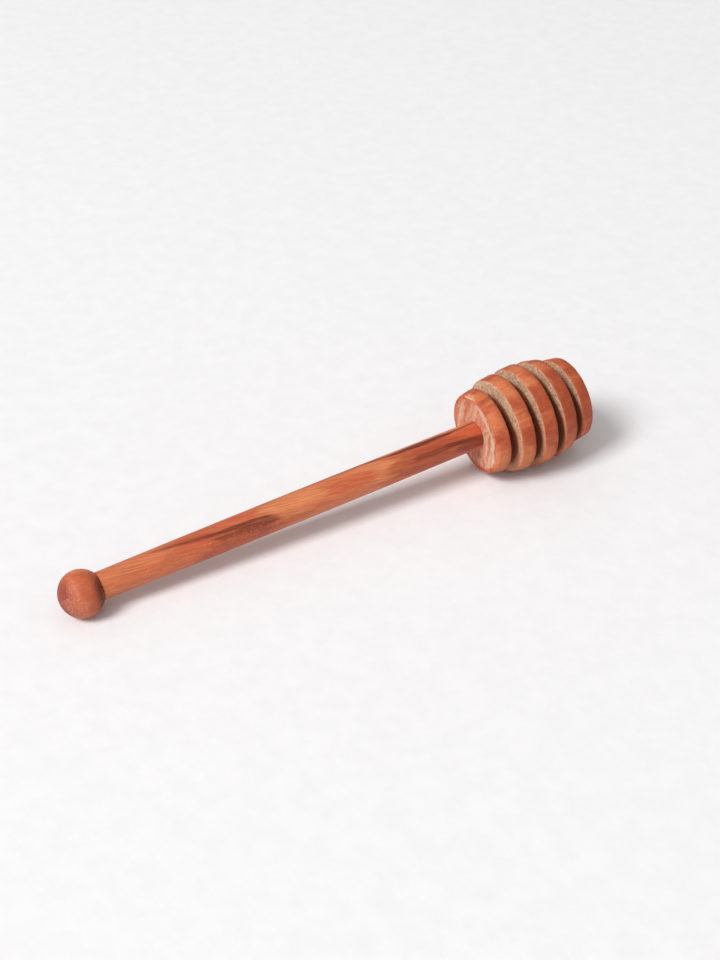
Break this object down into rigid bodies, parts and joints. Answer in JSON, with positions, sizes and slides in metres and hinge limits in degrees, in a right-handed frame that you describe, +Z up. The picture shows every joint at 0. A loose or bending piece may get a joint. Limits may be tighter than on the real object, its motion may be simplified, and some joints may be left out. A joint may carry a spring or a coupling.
{
  "type": "honey dipper",
  "caption": "Wooden honey dipper: a grooved, barrel-shaped turned head on a slim round stem with a ball grip, lying on its side.",
  "frame": {"origin": "on the table that the dipper lies on, under the middle of its box", "axes": "+X from the ball towards the head, level with the table; +Z up; the dipper's own axis lies in the XZ plane and rises by 3.43 degrees towards the head, because it rests on the ball and on the widest disc"},
  "size_m": [0.1604, 0.0298, 0.0298],
  "materials": {
    "head_wood": "satin, oiled",
    "stem_wood": "satin, oiled",
    "ball_wood": "satin, oiled"
  },
  "bodies": {
    "root": {"dipper_head": "head_wood", "handle_stem": "stem_wood", "ball_knob": "ball_wood"}
  },
  "joints": []
}
